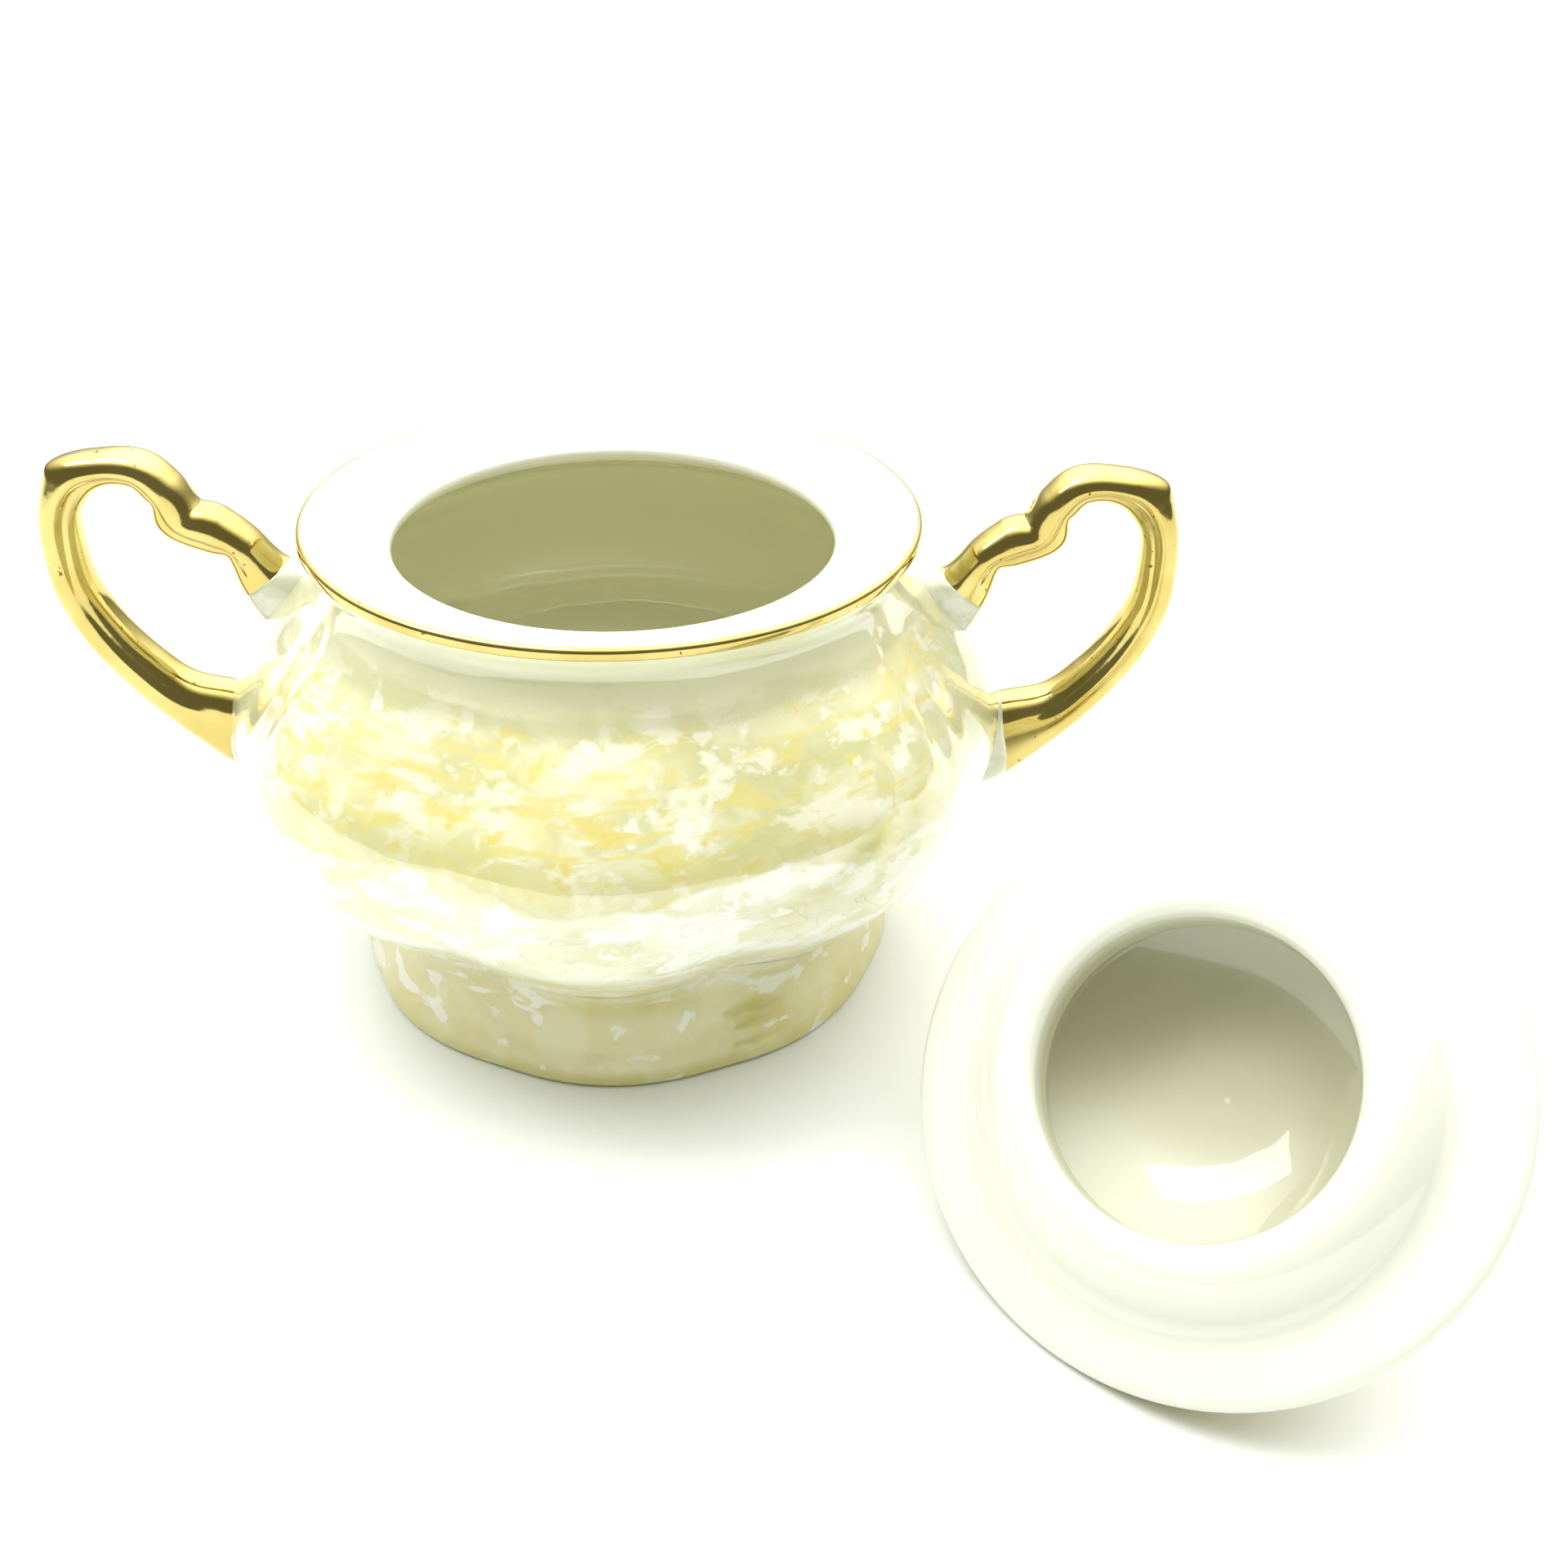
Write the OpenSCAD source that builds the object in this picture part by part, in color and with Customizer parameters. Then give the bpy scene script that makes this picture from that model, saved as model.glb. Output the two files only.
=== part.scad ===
// Covered sugar bowl in lustred porcelain: an eight-lobed bowl on a spreading
// foot, two ear-shaped gilt handles, and a domed lid with a knob. The lid lies
// upside down beside the bowl, leaning on its knob and on the edge of its flange.
// Millimetres. The origin is the centre of the foot, +Z is up, and the handles
// are along X.

/* [Bowl] */
// Outer diameter of the rim
rim_d = 85; // [72:1:102]
// Height of the bowl from the table to the top of the rim
bowl_h = 70; // [58:1:84]
// Diameter across the lobes at the widest height
belly_d = 112; // [93:1:135]
// Height of the widest part above the table
belly_z = 38; // [32:1:45]
// Number of lobes round the bowl
lobes = 8; // [6:1:10]
// Depth of the valleys between the lobes, below the belly
lobe_depth = 2.8; // [1:0.1:4]
// Thickness of the wall at a valley
wall = 3.4; // [2.5:0.1:4.2]
// How far the neck is set in from the edge of the rim
neck_inset = 1.9; // [1:0.1:3]
// Height of the upright band of the rim above the neck
rim_band_h = 4.5; // [3.5:0.1:5.5]

/* [Foot] */
// Outer diameter where the foot stands on the table
foot_d = 83; // [70:1:100]
// Diameter of the waist between the foot and the belly
waist_d = 76.8; // [64:0.2:92]
// Height of that waist above the table
waist_z = 11.5; // [9:0.5:14]
// Width of the ring that the foot stands on
foot_ring_w = 4; // [3:0.1:5]
// Depth of the hollow under the foot
foot_hollow_h = 2.5; // [1.5:0.1:3.5]
// Thickness of the floor of the bowl
floor_t = 4; // [3:0.1:6]

/* [Mouth] */
// Width of the raised rim outside the lid
rim_land_w = 5; // [4:0.1:6.5]
// Width of the ledge that the lid sits on
ledge_w = 7; // [5.5:0.1:8.5]
// Depth of that ledge below the top of the rim
ledge_drop = 2.5; // [1.8:0.1:3.2]
// Thickness of the ledge at the mouth
ledge_t = 3.6; // [3:0.1:4.5]

/* [Handles] */
// Distance from the belly to the middle of the handle at its furthest
handle_reach = 21; // [17:0.5:26]
// Height of the handle's arch above the rim, to the middle of the bar
handle_rise = 4.4; // [2:0.1:8]
// Height of the lower root above the table, to the middle of the bar
handle_root_z = 34.5; // [30:0.5:40]
// Width of the bar, front to back
handle_w = 7.2; // [6:0.1:8.6]
// Thickness of the bar at the outside of the loop
handle_t = 6; // [5:0.1:7.2]

/* [Lid] */
// Gap between the edge of the lid and the raised rim
lid_play = 1.3; // [0.8:0.1:1.6]
// Thickness of the flange at its rounded edge
flange_t = 2.8; // [2.4:0.1:3.4]
// Height of the dome above the underside of the flange
dome_h = 17.5; // [14.6:0.1:21]
// How far up the dome keeps its full width
dome_fullness = 1.7; // [1.4:0.1:2.2]
// Gap between the collar under the lid and the mouth
collar_play = 2.6; // [1.6:0.1:3.2]
// Depth of that collar below the flange
collar_h = 5.5; // [4.6:0.1:6.5]
// Width of the collar, from its outside to the hole
collar_w = 9; // [7.5:0.1:10.8]
// Thickness of the lid's wall
lid_wall = 3.4; // [2.8:0.1:4]
// Gap between the lid and the ledge when the lid is on
seat_gap = 0.05; // [0:0.01:0.1]

/* [Knob] */
// Diameter of the ball of the knob
knob_d = 13.6; // [11.4:0.1:16.3]
// Diameter of the neck under the ball
knob_neck_d = 7.6; // [6.4:0.1:9]
// Height of the knob above the dome
knob_h = 17.5; // [14.6:0.1:21]
// Diameter of the flared base of the knob
knob_base_d = 13; // [10.9:0.1:15.6]

/* [Lid at rest] */
// Direction of the lid from the bowl, anticlockwise from the right handle
lid_bearing = -42.7; // [-60:0.1:-25]
// Gap between the bowl's belly and the lid's edge in that direction
lid_gap = 6.2; // [4:0.1:20]
// Direction that the underside of the lid faces
lid_facing = -136; // [-150:1:-90]

/* [Hidden] */

eps = 0.01;
around = 64;        // facets round the bowl
rings = 30;         // rings of facets up the bowl
bar_sides = 16;     // facets round a handle
bar_rings = 44;     // rings along a handle
$fn = 96;

porcelain = "#F3EFD2";
lustre = "#E9E2B8";
gold = "#D9A520";

rim_r = rim_d / 2;
belly_r = belly_d / 2;
foot_r = foot_d / 2;
waist_r = waist_d / 2;
neck_r = rim_r - neck_inset;
neck_z = bowl_h - rim_band_h;
ledge_z = bowl_h - ledge_drop;
mouth_r = rim_r - rim_land_w - ledge_w;
floor_z = foot_hollow_h + floor_t;

// A smooth curve through points [x, y], by cubic pieces whose slope at each
// point is that of the line between its two neighbours.
function slope(p, i) =
    let (a = max(i - 1, 0), b = min(i + 1, len(p) - 1))
    (p[b][1] - p[a][1]) / (p[b][0] - p[a][0]);
function piece(p, x, i = 0) = i >= len(p) - 2 || x < p[i + 1][0] ? i : piece(p, x, i + 1);
function curve(p, x) =
    let (
        i = piece(p, x),
        h = p[i + 1][0] - p[i][0],
        t = min(max((x - p[i][0]) / h, 0), 1)
    )
    p[i][1] * (2 * t^3 - 3 * t^2 + 1) + slope(p, i) * h * (t^3 - 2 * t^2 + t)
    + p[i + 1][1] * (3 * t^2 - 2 * t^3) + slope(p, i + 1) * h * (t^3 - t^2);
function mix(a, b, t) = a + (b - a) * t;

// Radius of the bowl over the lobes, as [height, radius]
edge_round = 0.7;
crown = [
    [0, foot_r - edge_round],
    [edge_round, foot_r],
    [mix(0, waist_z, 0.4), mix(foot_r, waist_r, 0.4)],
    [waist_z, waist_r],
    [mix(waist_z, belly_z, 0.17), mix(waist_r, belly_r, 0.15)],
    [mix(waist_z, belly_z, 0.4), mix(waist_r, belly_r, 0.5)],
    [mix(waist_z, belly_z, 0.7), mix(waist_r, belly_r, 0.86)],
    [belly_z, belly_r],
    [mix(belly_z, neck_z, 0.29), mix(belly_r, neck_r, 0.1)],
    [mix(belly_z, neck_z, 0.58), mix(belly_r, neck_r, 0.45)],
    [mix(belly_z, neck_z, 0.8), mix(belly_r, neck_r, 0.81)],
    [neck_z, neck_r],
    [mix(neck_z, bowl_h, 0.6), rim_r - 0.2],
    [bowl_h - edge_round, rim_r],
    [bowl_h, rim_r - edge_round]
];
// Depth of the valleys, as [height, depth]
valley = [
    [0, 0.15 * lobe_depth],
    [waist_z, 0.3 * lobe_depth],
    [mix(waist_z, belly_z, 0.4), lobe_depth],
    [belly_z, 0.5 * lobe_depth],
    [mix(belly_z, neck_z, 0.5), 0.55 * lobe_depth],
    [mix(belly_z, neck_z, 0.85), 0.2 * lobe_depth],
    [neck_z, 0],
    [bowl_h, 0]
];
function crown_r(z) = curve(crown, z);
function lobed_r(z, a) = crown_r(z) - curve(valley, z) * (1 - abs(cos(a * lobes / 2)));
function valley_r(z) = crown_r(z) - curve(valley, z);

// Heights of the rings: closer together where the outline turns quickly
levels = concat(
    [0, edge_round],
    [for (i = [1:rings - 6]) mix(edge_round, neck_z, i / (rings - 6))],
    [mix(neck_z, bowl_h, 0.6), bowl_h - edge_round, bowl_h]
);

module lobed_solid() {
    n = len(levels);
    points = concat(
        [for (z = levels, i = [0:around - 1])
            let (a = 360 * i / around)
            [lobed_r(z, a) * cos(a), lobed_r(z, a) * sin(a), z]],
        [[0, 0, 0], [0, 0, bowl_h]]
    );
    sides = [for (k = [0:n - 2], i = [0:around - 1])
        let (j = (i + 1) % around, p = k * around, q = p + around)
        each [[p + i, q + j, p + j], [p + i, q + i, q + j]]];
    base = [for (i = [0:around - 1]) [i, (i + 1) % around, n * around]];
    top = [for (i = [0:around - 1])
        [(n - 1) * around + (i + 1) % around, (n - 1) * around + i, n * around + 1]];
    polyhedron(points, concat(sides, base, top));
}

// Everything that is hollow above the floor: the ledge, the mouth and the inside
lip_r = 0.8;
module bowl_hollow() {
    under_ledge = ledge_z - ledge_t;
    turn = 4;
    rotate_extrude()
        polygon(concat(
            [[0, bowl_h + 1], [rim_r - 1.4, bowl_h + 1], [rim_r - 1.4, bowl_h],
             [rim_r - 2.2, bowl_h - 0.3 * ledge_drop],
             [rim_r - 3.4, bowl_h - 0.8 * ledge_drop],
             [rim_r - rim_land_w + 0.6, ledge_z],
             [rim_r - rim_land_w - 3.4, ledge_z],
             [mouth_r + 1.6, ledge_z - 1.1]],
            [for (a = [50:-20:-90])
                [mouth_r + lip_r - lip_r * cos(a), ledge_z - 1.9 - lip_r + lip_r * sin(a)]],
            [for (z = [under_ledge:-2:floor_z + turn])
                [min(valley_r(z) - wall, mouth_r + 2 + 1.6 * (under_ledge - z)), z]],
            [[valley_r(floor_z + turn) - wall - 2, floor_z + 1.6],
             [valley_r(floor_z + turn) - wall - 6, floor_z],
             [0, floor_z]]
        ));
}

module foot_hollow() {
    rotate_extrude()
        polygon([
            [0, -1],
            [foot_r - foot_ring_w, -1],
            [foot_r - foot_ring_w, 0],
            [foot_r - foot_ring_w - 0.9, foot_hollow_h - 0.8],
            [foot_r - foot_ring_w - 2.4, foot_hollow_h],
            [0, foot_hollow_h]
        ]);
}

module bowl_body() {
    color(lustre)
        difference() {
            lobed_solid();
            bowl_hollow();
            foot_hollow();
        }
}

// A handle in the plane of X and Z, to the right of the bowl
root_sink = 2.5;
upper_root_z = bowl_h - 11.5;
reach_r = belly_r + handle_reach;
arch_z = bowl_h + handle_rise;
upper_root_r = crown_r(upper_root_z) - root_sink;
lower_root_r = crown_r(handle_root_z) - root_sink;
upper_arm = [
    // share of the reach, share of the rise, thickness, width
    [0.04, -0.28, 2.2, 1.06],
    [0.19, -0.03, 1.38, 1.02],
    [0.28, 0.3, 0.9, 0.97],
    [0.38, 0.43, 1.15, 1],
    [0.49, 0.54, 1.12, 1],
    [0.55, 0.8, 0.95, 1],
    [0.63, 0.97, 0.85, 1],
    [0.76, 0.99, 0.8, 1],
    [0.89, 0.88, 1, 1.02]
];
lower_arm = [
    [0.95, 0.84, 0.88, 1.02],
    [0.98, 0.7, 0.88, 1.02],
    [0.96, 0.54, 0.94, 1.03],
    [0.85, 0.38, 1.03, 1.05],
    [0.69, 0.24, 1.1, 1.08],
    [0.5, 0.12, 1.27, 1.11],
    [0.28, 0.04, 1.85, 1.16],
    [0.07, -0.02, 2.35, 1.2],
    [-0.22, -0.07, 2.1, 1.2]
];
stations = concat(
    [for (s = upper_arm) [mix(upper_root_r, reach_r, s[0]), mix(upper_root_z, arch_z, s[1]), s[2], s[3]]],
    [for (s = lower_arm) [mix(lower_root_r, reach_r, s[0]), mix(handle_root_z, arch_z, s[1]), s[2], s[3]]]
);
function station(t, k) = curve([for (i = [0:len(stations) - 1]) [i, stations[i][k]]], t);
bar_square = 2.6;   // 2 would be an ellipse, larger is squarer
function bulge(c) = sign(c) * pow(abs(c), 2 / bar_square);

module handle() {
    last = len(stations) - 1;
    ring_t = [for (k = [0:bar_rings]) last * k / bar_rings];
    points = [for (t = ring_t, i = [0:bar_sides - 1])
        let (
            dx = station(min(t + eps, last), 0) - station(max(t - eps, 0), 0),
            dz = station(min(t + eps, last), 1) - station(max(t - eps, 0), 1),
            d = norm([dx, dz]),
            a = 360 * i / bar_sides,
            out = bulge(cos(a)) * station(t, 2) * handle_t / 2
        )
        [station(t, 0) - dz / d * out, bulge(sin(a)) * station(t, 3) * handle_w / 2,
         station(t, 1) + dx / d * out]];
    sides = [for (k = [0:bar_rings - 1], i = [0:bar_sides - 1])
        let (j = (i + 1) % bar_sides, p = k * bar_sides, q = p + bar_sides)
        each [[p + i, p + j, q + j], [p + i, q + j, q + i]]];
    ends = [[for (i = [bar_sides - 1:-1:0]) i], [for (i = [0:bar_sides - 1]) bar_rings * bar_sides + i]];
    color(gold)
        difference() {
            polyhedron(points, concat(sides, ends));
            rotate_extrude()
                polygon(concat([[0, 0]], [for (z = levels) [crown_r(z), z]], [[0, bowl_h]]));
        }
}

module left_handle() {
    rotate([0, 0, 180])
        handle();
}

module right_handle() {
    handle();
}

// The lid the right way up, with the underside of its flange at height 0
lid_r = rim_r - rim_land_w - lid_play;
edge_r = flange_t / 2;
flange_r = lid_r - edge_r;
collar_r = mouth_r - collar_play;
hole_r = collar_r - collar_w;
function dome_z(r) = flange_t + (dome_h - flange_t) * (1 + cos(180 * pow(r / flange_r, dome_fullness))) / 2;
hollow_r = hole_r + 3;

module dome_outline() {
    polygon(concat(
        [[0, 0], [flange_r, 0]],
        [for (a = [-75:15:75]) [flange_r + edge_r * cos(a), edge_r + edge_r * sin(a)]],
        [for (i = [0:24]) let (r = flange_r * (1 - i / 24)) [r, dome_z(r)]]
    ));
}

// The rounded collar, as [share of its width out from the hole, share of its depth]
collar_roll = [
    [0, 0.72],
    [0.05, 0.88],
    [0.14, 0.97],
    [0.26, 1],
    [0.4, 0.97],
    [0.55, 0.86],
    [0.7, 0.66],
    [0.83, 0.42],
    [0.93, 0.18],
    [1, 0]
];
module collar_outline() {
    polygon(concat(
        [[hole_r, eps]],
        [for (p = collar_roll) [hole_r + p[0] * collar_w, -p[1] * collar_h]],
        [[collar_r, eps]]
    ));
}

module lid_hollow_outline() {
    polygon(concat(
        [[0, -collar_h - 1], [hole_r, -collar_h - 1], [hole_r, 1], [hollow_r - 0.9, 3.2], [hollow_r, 5]],
        [for (i = [0:12])
            let (r = (hollow_r - 0.4) * (1 - i / 12))
            [r, max(dome_z(r) - lid_wall - 0.03 * r, 5.5)]]
    ));
}

module lid_up() {
    rotate_extrude()
        difference() {
            union() {
                dome_outline();
                collar_outline();
            }
            lid_hollow_outline();
        }
}

knob_r = knob_d / 2;
knob_top = dome_h + knob_h;
ball_z = knob_top - knob_r;
module knob_up() {
    cove_z = dome_h + 0.2 * knob_h;
    rotate_extrude()
        difference() {
            union() {
                intersection() {
                    translate([0, ball_z])
                        circle(knob_r);
                    translate([0, ball_z - knob_r])
                        square([knob_r, knob_d]);
                }
                polygon([
                    [0, dome_h - 2],
                    [knob_base_d / 2, dome_h - 2],
                    [knob_base_d / 2, dome_h + 0.3],
                    [knob_base_d / 2 - 0.8, dome_h + 0.9],
                    [knob_neck_d / 2 + 0.5, dome_h + 1.6],
                    [knob_neck_d / 2, cove_z],
                    [knob_neck_d / 2, ball_z - 0.7 * knob_r],
                    [0, ball_z]
                ]);
            }
            dome_outline();
        }
}

// The lid lies on two rounded points: the ring inside its flange edge, and the
// centre of its ball. A line that touches both gives its lean.
lean_a = norm([flange_r, ball_z - edge_r]);
lid_lean = atan2(ball_z - edge_r, flange_r) + asin((knob_r - edge_r) / lean_a);
lid_z = flange_r * sin(lid_lean) + edge_r * cos(lid_lean) + edge_r;
lid_distance = belly_r + lid_r + lid_gap;

module lid_at_rest() {
    translate([lid_distance * cos(lid_bearing), lid_distance * sin(lid_bearing), lid_z])
        rotate([0, 180 - lid_lean, lid_facing + 180])
            children();
}

module lid_shell() {
    color(porcelain)
        lid_at_rest()
            lid_up();
}

module lid_knob() {
    color(gold)
        lid_at_rest()
            knob_up();
}

bowl_body();
left_handle();
right_handle();
lid_shell();
lid_knob();
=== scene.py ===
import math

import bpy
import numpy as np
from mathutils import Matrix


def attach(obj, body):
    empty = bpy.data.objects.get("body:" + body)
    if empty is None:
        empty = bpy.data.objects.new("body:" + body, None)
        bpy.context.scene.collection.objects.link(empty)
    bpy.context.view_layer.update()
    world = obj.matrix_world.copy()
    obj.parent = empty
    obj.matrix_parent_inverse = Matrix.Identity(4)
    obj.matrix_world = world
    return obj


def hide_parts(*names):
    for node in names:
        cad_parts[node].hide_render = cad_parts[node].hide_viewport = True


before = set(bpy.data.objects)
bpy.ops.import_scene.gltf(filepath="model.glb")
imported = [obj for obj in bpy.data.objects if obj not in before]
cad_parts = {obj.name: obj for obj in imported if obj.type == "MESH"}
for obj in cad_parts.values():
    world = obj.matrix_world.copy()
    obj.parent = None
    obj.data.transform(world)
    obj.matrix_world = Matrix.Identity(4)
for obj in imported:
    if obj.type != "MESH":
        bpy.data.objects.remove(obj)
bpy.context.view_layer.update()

# Looks for the covered sugar bowl: an eight-lobed bowl in lustred porcelain with two
# gilt handles, and its lid lying upside down beside it. Sizes in the tables are
# millimetres in the model's frame (origin at the centre of the foot, Z up), and
# meshes are metres.

MM = 0.001

# ---------------------------------------------------------------- sizes, in mm
RIM_R = 42.5
BOWL_H = 70.0
NECK_R = 40.6
NECK_Z = 65.5
BELLY_R = 56.0
BELLY_Z = 38.0
WAIST_R = 38.4
WAIST_Z = 11.5
FOOT_R = 41.5
LOBES = 8
LOBE_DEPTH = 2.8
WALL = 3.4
MOUTH_R = 30.5
LEDGE_Z = 67.5  # the step that the lid sits on
FLOOR_Z = 6.5
HOLLOW_Z = 2.5
HANDLE_T = 6.0
HANDLE_W = 7.2
FLANGE_T = 2.8
EDGE_R = 1.4
FLANGE_R = 34.8
DOME_H = 17.5
COLLAR_R = 27.9
HOLE_R = 18.9
COLLAR_H = 5.5
COLLAR_W = 9.0
LID_WALL = 3.4
KNOB_R = 6.8
KNOB_H = 17.5
LID_BEARING = -42.7  # degrees, from the bowl to where the lid lies
LID_FACING = -136.0
LID_GAP = 6.2


def mix(a, b, t):
    return a + (b - a) * t


def smooth(lo, hi, x):
    """0 below lo, 1 above hi, and a smooth S between."""
    t = np.clip((x - lo) / (hi - lo), 0, 1)
    return t * t * (3 - 2 * t)


def curve(table, x):
    """A smooth line through the table's [x, y] points, by cubic pieces whose slope
    at each point is that of the line between its two neighbours."""
    px, py = np.array(table, float).T
    lo = np.maximum(np.arange(len(px)) - 1, 0)
    hi = np.minimum(np.arange(len(px)) + 1, len(px) - 1)
    slope = (py[hi] - py[lo]) / (px[hi] - px[lo])
    x = np.asarray(x, float)
    i = np.clip(np.searchsorted(px, x, side="right") - 1, 0, len(px) - 2)
    h = px[i + 1] - px[i]
    t = np.clip((x - px[i]) / h, 0, 1)
    return (
        py[i] * (2 * t**3 - 3 * t**2 + 1)
        + slope[i] * h * (t**3 - 2 * t**2 + t)
        + py[i + 1] * (3 * t**2 - 2 * t**3)
        + slope[i + 1] * h * (t**3 - t**2)
    )


def resample(points, count):
    """The polyline's points, spaced evenly along it."""
    points = np.array(points, float)
    run = np.r_[0, np.cumsum(np.linalg.norm(np.diff(points, axis=0), axis=1))]
    at = np.linspace(0, run[-1], count)
    return np.stack([np.interp(at, run, points[:, k]) for k in range(points.shape[1])], 1)


def arc(cx, cy, r, a0, a1, count):
    """Points on a circle in a profile plane, from angle a0 to a1 in degrees."""
    a = np.radians(np.linspace(a0, a1, count))
    return [[cx + r * c, cy + r * s] for c, s in zip(np.cos(a), np.sin(a))]


# ---------------------------------------------------------------- meshes
def surface(name, rings, poles=(None, None), closed=False, flip=False):
    """A skin over a grid of points: rings is an array of rings, each a closed loop
    of points. Point j of a ring is joined to points j and j + 1 of the next ring. A
    pole is the one point that closes an end with a fan of triangles, and closed
    joins the last ring to the first."""
    rings = np.asarray(rings, float)
    rows, cols = rings.shape[:2]
    verts = rings.reshape(-1, 3)
    row = np.arange(rows if closed else rows - 1)[:, None]
    here = np.arange(cols)[None, :]
    ahead = (here + 1) % cols
    near = row * cols
    far = (row + 1) % rows * cols
    faces = np.stack([near + here, near + ahead, far + ahead, far + here], -1).reshape(-1, 4).tolist()
    last = (rows - 1) * cols
    for pole, start, stop in ((poles[0], ahead, here), (poles[1], last + here, last + ahead)):
        if pole is not None:
            tip = np.full((1, cols), len(verts))
            faces += np.stack([start, stop, tip], -1).reshape(-1, 3).tolist()
            verts = np.vstack([verts, np.asarray(pole, float)[None]])
    if flip:
        faces = [face[::-1] for face in faces]
    mesh = bpy.data.meshes.new(name)
    mesh.from_pydata((verts * MM).tolist(), [], faces)
    mesh.update()
    mesh.polygons.foreach_set("use_smooth", np.ones(len(mesh.polygons), bool))
    obj = bpy.data.objects.new(name, mesh)
    bpy.context.scene.collection.objects.link(obj)
    return obj


def mark(obj, name, values):
    """A number stored at each vertex, for the materials to read."""
    values = np.asarray(values, np.float32).ravel()
    full = np.zeros(len(obj.data.vertices), np.float32)
    full[: len(values)] = values
    attribute = obj.data.attributes.new(name, "FLOAT", "POINT")
    attribute.data.foreach_set("value", full)


# ---------------------------------------------------------------- the bowl
CROWN = [
    [0, FOOT_R - 0.7],
    [0.7, FOOT_R],
    [4.6, mix(FOOT_R, WAIST_R, 0.4)],
    [WAIST_Z, WAIST_R],
    [mix(WAIST_Z, BELLY_Z, 0.17), mix(WAIST_R, BELLY_R, 0.15)],
    [mix(WAIST_Z, BELLY_Z, 0.4), mix(WAIST_R, BELLY_R, 0.5)],
    [mix(WAIST_Z, BELLY_Z, 0.7), mix(WAIST_R, BELLY_R, 0.86)],
    [BELLY_Z, BELLY_R],
    [mix(BELLY_Z, NECK_Z, 0.29), mix(BELLY_R, NECK_R, 0.1)],
    [mix(BELLY_Z, NECK_Z, 0.58), mix(BELLY_R, NECK_R, 0.45)],
    [mix(BELLY_Z, NECK_Z, 0.8), mix(BELLY_R, NECK_R, 0.81)],
    [NECK_Z, NECK_R],
    [mix(NECK_Z, BOWL_H, 0.6), RIM_R - 0.2],
    [BOWL_H - 0.7, RIM_R],
    [BOWL_H, RIM_R - 0.7],
]
# depth of the valleys, and how soft their bottoms are, at each height
VALLEY = [[0, 0.7], [WAIST_Z, 1.0], [18, 1.9], [24, 2.5], [BELLY_Z, 1.5]]
VALLEY += [[50, 1.8], [60, 0.9], [64, 0.15], [BOWL_H, 0]]
SOFTNESS = [[0, 0.3], [WAIST_Z, 0.2], [20, 0.12], [BELLY_Z, 0.5], [50, 0.1], [58, 0.05], [BOWL_H, 0.05]]
SCALLOP = 2.0
SEAM = 0.6
PANEL_EDGE = 32.0  # degrees from a handle to the fine seam at its panel's edge
FLOOR_REFLECTION_Z = 41.5  # the upper edge of the painted floor reflection low on the belly, and how much it dips on each lobe
FLOOR_REFLECTION_DIP = 2.4


def lobe(z, a):
    """How far into a valley the angle a is: 0 on a lobe's crown, 1 in the valley. It
    is one minus the size of the cosine of half the lobes' angle, with the sharp
    bottom of that curve rounded off by the softness at the height z."""
    soft = curve(SOFTNESS, z) + 0.35 * smooth(44, 52, z) * np.sin(a) ** 2
    c = np.cos(a * LOBES / 2)
    full = np.sqrt(1 + soft**2) - soft
    return 1 - (np.sqrt(c**2 + soft**2) - soft) / full


def outside_r(z, a):
    """Radius of the bowl's outside: the crown line, less the valley's depth times how
    far into a valley the angle a is, less a fine seam beside each handle. The
    valleys lift the waist, so that each lobe hangs over the foot in a scallop."""
    into = lobe(z, a)
    lift = SCALLOP * np.exp(-(((z - 15) / 5.5) ** 2))
    off = np.degrees(np.abs(np.arcsin(np.sin(a)))) - PANEL_EDGE
    seam = SEAM * np.exp(-((off / 2.2) ** 2)) * smooth(43, 50, z) * smooth(64, 58, z)
    return curve(CROWN, z - lift * into) - curve(VALLEY, z) * into - seam


AROUND = 320
turn = np.linspace(0, 2 * math.pi, AROUND, endpoint=False)


def ring_points(r, z):
    """One ring at each height z: radius r times the cosine and sine of the angles."""
    r = np.broadcast_to(r, (len(z), AROUND))
    return np.stack([r * np.cos(turn), r * np.sin(turn), np.repeat(z[:, None], AROUND, 1)], -1)


upright_z = np.linspace(NECK_Z + 0.25, BOWL_H - 0.7, 18)
out_z = np.r_[np.linspace(0, 0.7, 5), np.linspace(0.9, NECK_Z, 124), upright_z]
out_r = outside_r(out_z[:, None], turn[None, :])
foot = resample([[34, HOLLOW_Z], [36.6, 1.9], [37.5, 0.2], [38.2, 0.0], [39.4, -0.0]], 14)
rim = arc(RIM_R - 0.7, BOWL_H - 0.7, 0.7, 12, 112, 10)
rim += [[RIM_R - 1.5, BOWL_H - 0.3], [RIM_R - 2.2, BOWL_H - 0.7], [RIM_R - 3.3, BOWL_H - 1.7]]
rim += [[RIM_R - 4.3, LEDGE_Z + 0.15], [RIM_R - 4.9, LEDGE_Z]]
shelf = [[MOUTH_R + 5.5, LEDGE_Z], [MOUTH_R + 3.7, LEDGE_Z - 0.02]]
shelf += [[MOUTH_R + 2.7, LEDGE_Z - 0.2], [MOUTH_R + 1.9, LEDGE_Z - 0.65]]
lip = arc(MOUTH_R + 1.3, LEDGE_Z - 2.1, 1.3, 70, 250, 16)
inside_z = np.linspace(LEDGE_Z - 4.7, WAIST_Z, 54)
valley_line = curve(CROWN, inside_z) - LOBE_DEPTH * 0.9
inside = np.minimum(valley_line - WALL, MOUTH_R + 1.9 + 1.6 * (LEDGE_Z - 3.6 - inside_z))
corner_r = inside[-1]
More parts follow.
